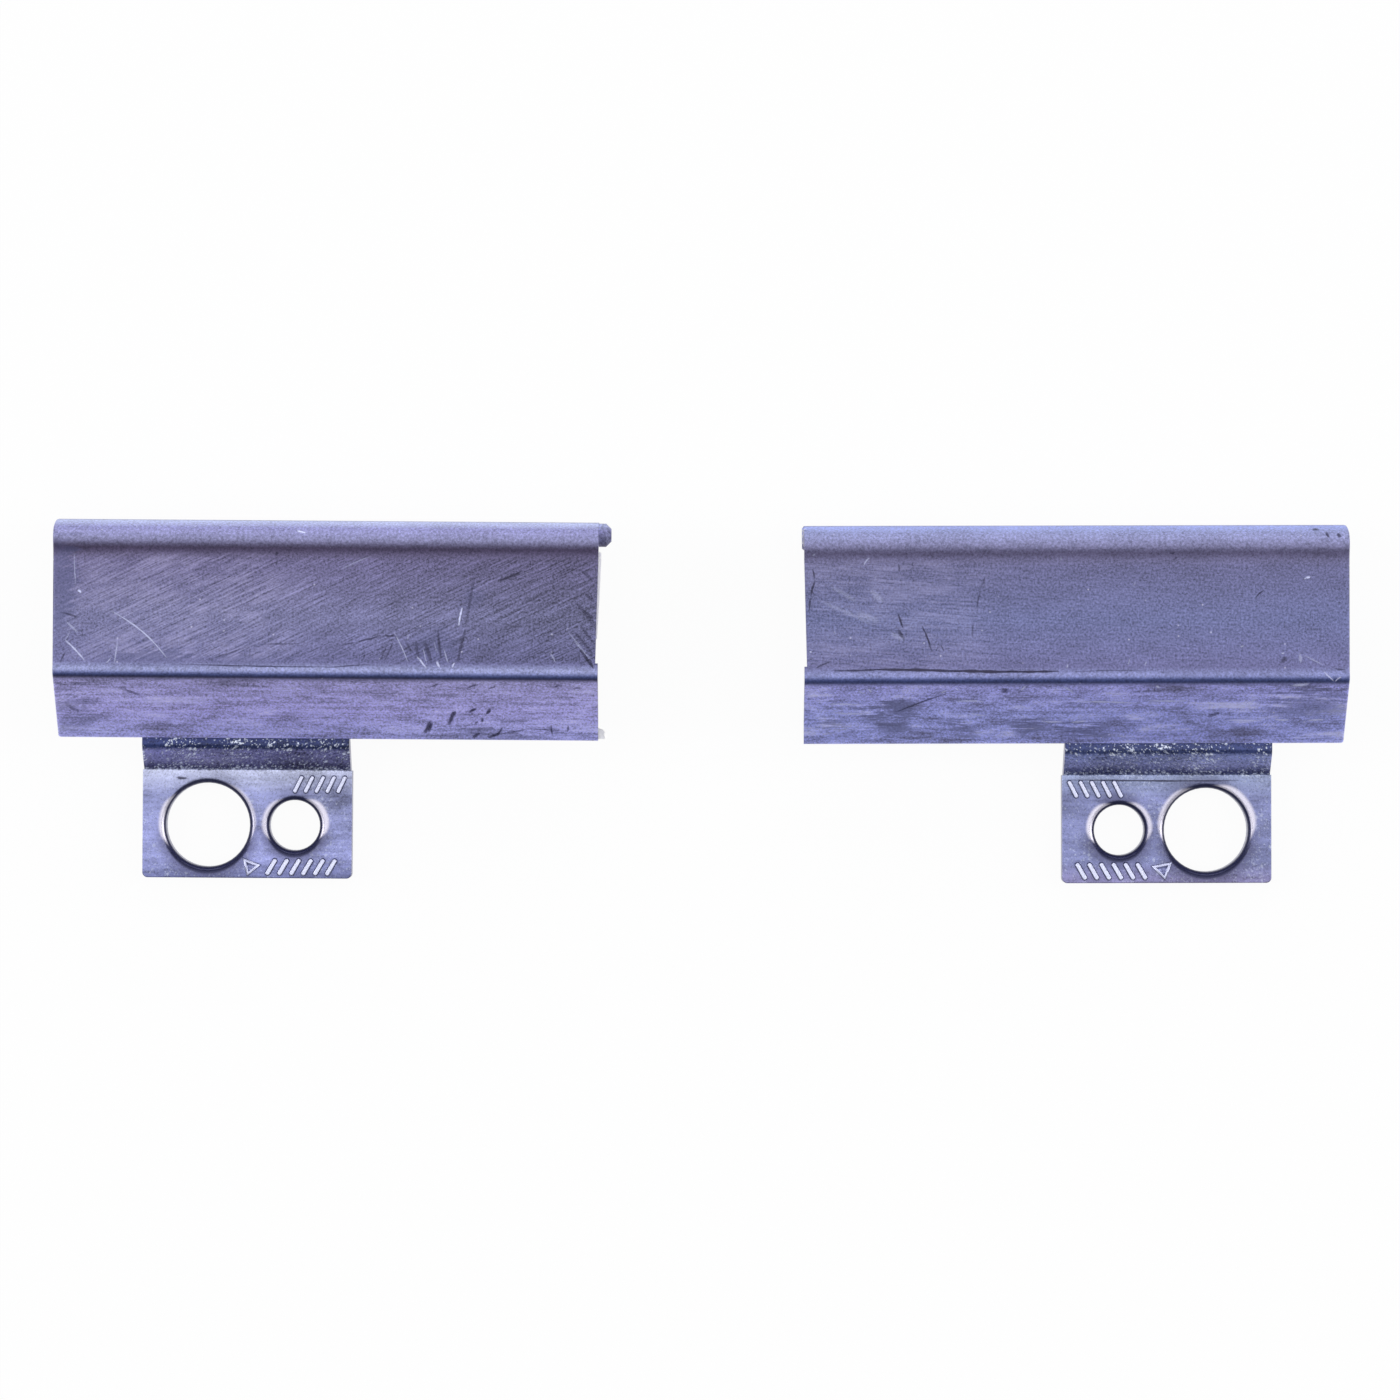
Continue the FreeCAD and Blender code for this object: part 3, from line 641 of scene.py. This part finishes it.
def tab_paint(nodes, side, place, u, v, textures):
    """A bare speckled web, and a tab with painted shade and highlights round its holes; the border between
    them is ragged.
    """
    grain = textures["grain"]
    ragged = nodes.swing(nodes.noise(place, 5.0, 3.0), BORDER_STRAY / RAMP_DEPTH)
    depth = nodes.plus(nodes.maths("DIVIDE", v, RAMP_DEPTH), ragged)
    fading = nodes.times(nodes.ease(u, *TAB_FADE_SPAN), -WEAR[side]["tab_fade"])
    # The tab has half of the web's grain, and fainter specks
    on_web = nodes.ease(v, TAB_START, WEB_END)
    grains = nodes.times(nodes.swing(grain, 1.2), nodes.maths("MULTIPLY_ADD", on_web, 0.5, 0.5))
    rubs = nodes.swing(textures["rubbed"], 0.35)
    patches = nodes.swing(textures["cloud"], 0.9)
    shade = nodes.plus(grains, rubs, patches, fading, 1.0)
    colour = nodes.tinted(nodes.ramp(depth, depth_stops(LOWER, side)), shade)
    specks = overspray(nodes, place, u, v, grain, CROWDS[side])
    speck_share = nodes.maths("MULTIPLY_ADD", on_web, 0.7, 0.3)
    colour = nodes.mix(nodes.times(speck_share, specks), colour, SPECK)
    # Painted shade round the holes, painted dark rims and painted highlights on the rims
    rim_shade, rim_highlight, halo = rims(nodes, place, side)
    colour = nodes.mix(halo, colour, HOLE_SHADE)
    colour = nodes.mix(nodes.times(rim_shade, 0.94), colour, RIM_SHADE)
    return nodes.mix(rim_highlight, colour, RIM_HIGHLIGHT)


def paint(side):
    """Worn lilac paint with painted shade and highlights on the upper side, a bare speckled web, a glossy
    tab with painted shade and highlights at its holes, and plain plastic inside.
    """
    material, nodes = new_material(side + "_paint")
    place = cover_place(nodes, side)
    parts = nodes.add("SeparateXYZ", {0: place}).outputs
    u = parts["X"]
    v = nodes.maths("MULTIPLY", parts["Y"], -1.0)
    textures = shared_textures(nodes, place, WEAR[side]["brush"])
    grain = textures["grain"]
    upper = shell_paint(nodes, side, place, u, v, textures)
    lower = tab_paint(nodes, side, place, u, v, textures)
    below_foot = nodes.ease(parts["Z"], FOOT_Z - 0.03, FOOT_Z - 0.06)
    colour = nodes.mix(below_foot, upper, lower)

    # Inner faces and upright walls were never rubbed
    facing = nodes.add("SeparateXYZ", {0: nodes.add("TexCoord").outputs["Normal"]}).outputs["Z"]
    inside_shade = nodes.plus(nodes.swing(grain, 0.25), nodes.swing(textures["cloud"], 0.5), 1.0)
    inside = nodes.tinted(INSIDE, inside_shade)
    colour = nodes.mix(nodes.ease(facing, 0.02, 0.2), inside, colour)

    # The bead is duller than the rest of the shell, and the tab is glossier and smoother
    roughness = nodes.maths("MULTIPLY_ADD", below_foot, TAB_ROUGHNESS - SHELL_ROUGHNESS, SHELL_ROUGHNESS)
    roughness = nodes.maths("MINIMUM", nodes.plus(roughness, nodes.ease(v, 1.2, 0.8)), BEAD_ROUGHNESS)
    relief = nodes.times(grain, nodes.maths("MULTIPLY_ADD", below_foot, -0.7, 1.0))
    finish_shader(nodes, relief, 0.005, {
        "Base Color": colour,
        "Metallic": 0.45,
        "Roughness": nodes.plus(roughness, nodes.times(grain, 0.14)),
    })
    return material


for side in COVERS:
    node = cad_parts[side + "_cover"]
    node.data.materials.clear()
    node.data.materials.append(paint(side))


def skin(side):
    """The faces of a cover, to lay small pieces on."""
    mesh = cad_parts[side + "_cover"].data
    corners = [corner.co.copy() for corner in mesh.vertices]
    return BVHTree.FromPolygons(corners, [face.vertices[:] for face in mesh.polygons])


SKINS = {side: skin(side) for side in COVERS}
# How near to a cover's ends a mark may come, and a height above everything
END_SPARE = 0.2
ABOVE_ALL = 20.0
# A scratch is a strip this far above the skin, divided about this often along its length
MARK_LIFT = 0.012
MARK_STEP = 0.12
# Across such a strip: places in half widths, and the share of its strength there
MARK_SECTION = ((-1.0, 0.0), (-0.4, 1.0), (0.4, 1.0), (1.0, 0.0))
# How far a strip sways, how much its width wavers, and the share of the width that is left at its tips
SWAY = 0.025
WAVER = 0.2
TIP_WIDTH = 0.3


def laid(side, u, v, lift):
    """The place on a cover's upper side straight below u and v, raised a little along its normal."""
    inside = min(max(u, END_SPARE), LENGTH - END_SPARE)
    place, normal, _, _ = SKINS[side].ray_cast(to_frame(side, inside, v, ABOVE_ALL), Vector((0, 0, -1)))
    if place is None:
        raise ValueError(f"nothing below u {u:.2f} and v {v:.2f} of the {side} cover")
    return place + normal * (lift * MM)


def add_piece(name, shape, material):
    """A new piece from a bmesh, that rides on the row's one body."""
    mesh = bpy.data.meshes.new(name)
    shape.to_mesh(mesh)
    shape.free()
    mesh.materials.append(material)
    piece = bpy.data.objects.new(name, mesh)
    bpy.context.scene.collection.objects.link(piece)
    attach(piece, "root")
    return piece


def face_up(shape):
    """Turns the front of every face upwards."""
    for face in shape.faces:
        face.normal_update()
        if face.normal.z < 0:
            face.normal_flip()


def mark_material(name, colour):
    """Bare or bruised paint that fades out towards the edges of a mark."""
    material, nodes = new_material(name)
    place = nodes.add("TexCoord").outputs["Object"]
    grain = nodes.noise(place, 9.0 / MM, 2.0, 0.7)
    fade = nodes.add("Attribute", attribute_name="fade").outputs["Fac"]
    finish_shader(nodes, grain, 0.004, {
        "Base Color": nodes.tinted(tone(*colour), nodes.plus(nodes.swing(grain, 0.3), 1.0)),
        "Alpha": nodes.times(fade, nodes.maths("MULTIPLY_ADD", grain, 0.9, 0.55, clamp=True)),
        "Roughness": 0.45,
        "Metallic": 0.2,
    })
    return material


def lay_marks(name, side, rows, material):
    """Scratches on a cover's skin, each thinner and fainter towards its ends, with a sway of its own."""
    shape = bmesh.new()
    fade = shape.verts.layers.float.new("fade")
    for number, (u0, v0, u1, v1, half, strength, *bow) in enumerate(rows):
        start = Vector((u0, v0))
        run = Vector((u1, v1)) - start
        across = run.orthogonal().normalized()
        steps = max(4, round(run.length / MARK_STEP))
        before = None
        for step in range(steps + 1):
            share = step / steps
            thinning = math.sqrt(max(0.0, 4 * share * (1 - share)))
            # Each strip has phases of its own
            sway = SWAY * math.sin(2.3 * number + 4 * share) + sum(bow) * math.sin(math.pi * share)
            wavering = 1 + WAVER * math.sin(3.7 * number + 23 * share)
            width = half * (TIP_WIDTH + (1 - TIP_WIDTH) * thinning) * wavering
            middle = start + run * share + across * sway
            line = []
            for offset, level in MARK_SECTION:
                spot = middle + across * (offset * width)
                corner = shape.verts.new(laid(side, spot.x, spot.y, MARK_LIFT))
                corner[fade] = level * strength * thinning
                line.append(corner)
            if before:
                for index in range(len(line) - 1):
                    shape.faces.new((before[index], before[index + 1], line[index + 1], line[index]))
            before = line
    face_up(shape)
    add_piece(name, shape, material)


light_paint = mark_material("bare_scratch", (212, 216, 255))
dark_paint = mark_material("bruised_paint", (52, 49, 78))
for side in COVERS:
    lay_marks(side + "_light_scratches", side, LIGHT_MARKS[side], light_paint)
    lay_marks(side + "_dark_scratches", side, DARK_MARKS[side], dark_paint)


def drawn_in(outline, distance):
    """An outline's corners moved inwards, each by the same distance from both of its sides."""
    count = len(outline)
    area = sum(a.cross(b) for a, b in zip(outline, outline[1:] + outline[:1]))
    turn = math.copysign(1.0, area)
    corners = []
    for index, corner in enumerate(outline):
        before = (corner - outline[index - 1]).normalized()
        after = (outline[(index + 1) % count] - corner).normalized()
        first = Vector((-before.y, before.x)) * turn
        second = Vector((-after.y, after.x)) * turn
        corners.append(corner + (first + second) * (distance / (1 + first.dot(second))))
    return corners


# Straight steps in the half round at a bar's tip, and a rib's width and half slant as shares of the pitch
TIP_STEPS = 6
RIB_WIDTH = 0.5
RIB_SLANT = 0.3


def bar(u, v0, v1, width, slant):
    """The outline of a slanting bar with round ends."""
    half = width / 2
    front = Vector((u - slant, v1 - half))
    back = Vector((u + slant, v0 + half))
    way = math.atan2(front.y - back.y, front.x - back.x)
    angles = [way + math.radians(180 * step / TIP_STEPS - 90) for step in range(TIP_STEPS + 1)]
    tip = [Vector((math.cos(angle), math.sin(angle))) * half for angle in angles]
    return [front + spot for spot in tip] + [back - spot for spot in tip]


# Steps of a raised mark from its foot to its top: height above the tab and how far drawn in
RIB_STEPS = ((-0.03, 0.0), (0.06, 0.01), (0.11, 0.03), (0.135, 0.055), (0.14, 0.08))
# The pointer is a raised rim round a lower middle
POINTER_STEPS = ((-0.03, 0.0), (0.08, 0.015), (0.13, 0.045), (0.13, 0.12), (0.08, 0.15), (0.04, 0.16))


def raise_marks(name, side, outlines, steps, material):
    """Raised marks moulded on a tab, with soft upper edges."""
    shape = bmesh.new()
    for outline in outlines:
        rings = []
        for height, inset in steps:
            corners = drawn_in(outline, inset)
            rings.append([shape.verts.new(to_frame(side, c.x, c.y, TAB_Z + height)) for c in corners])
        for low, high in zip(rings, rings[1:]):
            for index in range(len(outline)):
                shape.faces.new((low[index - 1], low[index], high[index], high[index - 1]))
        shape.faces.new(rings[-1])
        shape.faces.new(rings[0])
    bmesh.ops.recalc_face_normals(shape, faces=shape.faces)
    for face in shape.faces:
        face.smooth = True
    add_piece(name, shape, material)


def ribs(first, last, v0, v1, count):
    """Outlines of equal slanting bars that fill a stretch of a tab."""
    pitch = (last - first) / count
    middles = [first + pitch * (index + 0.5) for index in range(count)]
    return [bar(middle, v0, v1, RIB_WIDTH * pitch, RIB_SLANT * pitch) for middle in middles]


# Raised marks on each tab: the pointer's corners, and rows of ribs, with first and last u, back and front v
# and how many
RAISED = {
    "left": {
        "pointer": [[Vector((8.64, 15.98)), Vector((9.58, 16.34)), Vector((8.87, 16.93))]],
        "back_ribs": ribs(11.04, 13.62, 12.04, 12.95, 5),
        "front_ribs": ribs(9.75, 13.17, 16.0, 16.88, 6),
    },
    "right": {
        "pointer": [[Vector((9.07, 16.15)), Vector((7.98, 15.94)), Vector((8.35, 16.88))]],
        "back_ribs": ribs(10.35, 13.02, 12.04, 12.95, 5),
        "front_ribs": ribs(9.2, 12.65, 15.96, 16.86, 6),
    },
}


# Tones of the tab round a raised mark and of the painted shade on the mark's sides and foot
TAB_TONE = tone(134, 138, 184)
FOOT_SHADE = tone(64, 66, 106)


def raised_material(name, top):
    """The tab's glossy skin, with painted shade on the sides of a mark and a painted highlight on its top.
    """
    material, nodes = new_material(name)
    place = nodes.add("TexCoord").outputs["Object"]
    grain = nodes.noise(place, 8.0 / MM, 2.0, 0.75)
    facing = nodes.add("SeparateXYZ", {0: nodes.add("TexCoord").outputs["Normal"]}).outputs["Z"]
    height = nodes.maths("DIVIDE", nodes.add("SeparateXYZ", {0: place}).outputs["Z"], MM)
    # A mark's top is painted lighter as a highlight, and its sides darker as painted shade
    flat = nodes.mix(nodes.ease(height, TAB_Z + 0.07, TAB_Z + 0.12), TAB_TONE, tone(*top))
    colour = nodes.mix(nodes.ease(facing, 0.6, 0.97), FOOT_SHADE, flat)
    finish_shader(nodes, grain, 0.006, {
        "Base Color": nodes.tinted(colour, nodes.plus(nodes.swing(grain, 0.25), 1.0)),
        "Roughness": nodes.maths("MULTIPLY_ADD", grain, 0.12, 0.22),
        "Metallic": 0.4,
    })
    return material


rib_skin = raised_material("raised_ribs", (222, 225, 250))
pointer_skin = raised_material("raised_pointer", (212, 215, 246))
for side, groups in RAISED.items():
    raise_marks(side + "_pointer", side, groups["pointer"], POINTER_STEPS, pointer_skin)
    for name in ("back_ribs", "front_ribs"):
        raise_marks(f"{side}_{name}", side, groups[name], RIB_STEPS, rib_skin)


# The flange's outer face: where it starts, its height there and its fall in each millimetre
FLANGE_V = 7.45
FLANGE_Z = 5.95
FLANGE_FALL = 1.1


def flange_height(v):
    """Height of the sloping flange's outer face."""
    return FLANGE_Z - FLANGE_FALL * (v - FLANGE_V)


def ragged_sheet(name, side, rows, thickness, material):
    """A thin moulding flash: each row is inner u, outer u, v and height."""
    shape = bmesh.new()
    loops = []
    for inner, outer, v, z in rows:
        spots = ((inner, z), (outer, z), (outer, z - thickness), (inner, z - thickness))
        loops.append([shape.verts.new(to_frame(side, u, v, height)) for u, height in spots])
    for first, second in zip(loops, loops[1:]):
        for index in range(4):
            shape.faces.new((first[index - 1], first[index], second[index], second[index - 1]))
    shape.faces.new(loops[0])
    shape.faces.new(loops[-1])
    bmesh.ops.recalc_face_normals(shape, faces=shape.faces)
    add_piece(name, shape, material)


def flash_material():
    """Thin pale flash, a little see-through."""
    material, nodes = new_material("flash")
    place = nodes.add("TexCoord").outputs["Object"]
    grain = nodes.noise(place, 6.0 / MM, 3.0, 0.7)
    finish_shader(nodes, grain, 0.01, {
        "Base Color": nodes.tinted(tone(246, 246, 253), nodes.plus(nodes.swing(grain, 0.2), 1.0)),
        "Roughness": nodes.maths("MULTIPLY_ADD", grain, 0.2, 0.3),
        "Transmission Weight": 0.8,
    })
    return material


flash_skin = flash_material()
# Torn outer edges of the flashes, as v and u along each
BURR = ((9.7, 25.62), (9.78, 25.84), (9.9, 25.92), (10.02, 25.88), (10.12, 25.93), (10.22, 25.9))
SLIVER = ((1.4, 25.62), (1.46, 25.73), (1.7, 25.74), (2.4, 25.71), (3.2, 25.68), (4.2, 25.63), (5.5, 25.56))
BEAD_FLASH = (
    (0.16, 25.62), (0.24, 25.7), (0.38, 25.66), (0.5, 25.71), (0.66, 25.67), (0.84, 25.7), (1.0, 25.63),
)
# Where the flashes start inside a cover, how far the burr lies under the flange, and the others' heights
FLASH_ROOT = 25.5
SLIVER_ROOT = 25.4
BURR_DROP = 0.04
SLIVER_Z = 5.8
BEAD_FLASH_Z = 5.55
burr_rows = [(FLASH_ROOT, u, v, flange_height(v) - BURR_DROP) for v, u in BURR]
sliver_rows = [(SLIVER_ROOT, u, v, SLIVER_Z) for v, u in SLIVER]
bead_rows = [(FLASH_ROOT, u, v, BEAD_FLASH_Z) for v, u in BEAD_FLASH]
ragged_sheet("left_foot_burr", "left", burr_rows, thickness=0.08, material=flash_skin)
ragged_sheet("left_end_sliver", "left", sliver_rows, thickness=0.06, material=flash_skin)
ragged_sheet("right_bead_flash", "right", bead_rows, thickness=0.07, material=flash_skin)

# How far the floor reaches from the middle, in metres, and how far it lies below the covers
FLOOR_REACH = 1.5
FLOOR_DROP = 0.02 * MM
# How much of the floor's look is plain white; the rest shows the shadow
WHITE_SHARE = 0.95
# The camera's place in millimetres, and its lens
CAMERA_PLACE = (-0.07, 0.079, 316.0)
CAMERA_LENS = 169.8


def white_floor():
    """A pale table that the camera sees as white, apart from the shadow on it."""
    material, nodes = new_material("floor")
    paths = nodes.add("LightPath").outputs
    seen = nodes.greatest([paths["Is Camera Ray"], paths["Is Glossy Ray"], paths["Is Transmission Ray"]])
    matte = nodes.add("BsdfDiffuse", {"Color": (0.92, 0.92, 0.92, 1)})
    glow = nodes.add("Emission", {"Color": (1, 1, 1, 1), "Strength": 1.0})
    share = nodes.times(seen, WHITE_SHARE)
    both = nodes.add("MixShader", {0: share, 1: matte.outputs[0], 2: glow.outputs[0]})
    nodes.tree.links.new(both.outputs[0], nodes.add("OutputMaterial").inputs["Surface"])
    mesh = bpy.data.meshes.new("floor")
    signs = ((-1, -1), (1, -1), (1, 1), (-1, 1))
    corners = [(x * FLOOR_REACH, y * FLOOR_REACH, -FLOOR_DROP) for x, y in signs]
    mesh.from_pydata(corners, [], [(0, 1, 2, 3)])
    mesh.materials.append(material)
    floor = bpy.data.objects.new("floor", mesh)
    bpy.context.scene.collection.objects.link(floor)


def lamp(name, place, size, power):
    """A rectangular lamp that points at the middle of the object."""
    data = bpy.data.lights.new(name, "AREA")
    data.shape = "RECTANGLE"
    data.size, data.size_y = size
    data.energy = power
    holder = bpy.data.objects.new(name, data)
    holder.location = place
    holder.rotation_euler = (-Vector(place)).to_track_quat("-Z", "Y").to_euler()
    bpy.context.scene.collection.objects.link(holder)


def studio():
    """A white floor, a dim sky and four soft lamps, none in front, so faces tilted forward stay dark."""
    white_floor()
    lamp("left_lamp", (-0.5, 0.05, 0.36), (0.3, 0.5), 1.35)
    lamp("right_lamp", (0.5, 0.05, 0.36), (0.3, 0.5), 1.35)
    lamp("back_lamp", (0.0, 0.55, 0.32), (0.6, 0.25), 1.4)
    lamp("top_lamp", (0.0, 0.0, 0.8), (0.6, 0.6), 1.4)
    world = bpy.data.worlds.new("studio")
    world.use_nodes = True
    backdrop = world.node_tree.nodes["Background"]
    backdrop.inputs["Color"].default_value = (0.9, 0.92, 1.0, 1)
    backdrop.inputs["Strength"].default_value = 0.25
    scene = bpy.context.scene
    scene.world = world
    scene.view_settings.view_transform = "Standard"


def camera():
    """Straight above the pair, about as far off as the photograph's camera seems to have been."""
    data = bpy.data.cameras.new("camera")
    data.sensor_width = 36.0
    data.lens = CAMERA_LENS
    data.clip_start = 0.01
    data.clip_end = 10.0
    holder = bpy.data.objects.new("camera", data)
    holder.location = Vector(CAMERA_PLACE) * MM
    bpy.context.scene.collection.objects.link(holder)
    bpy.context.scene.camera = holder


studio()
camera()
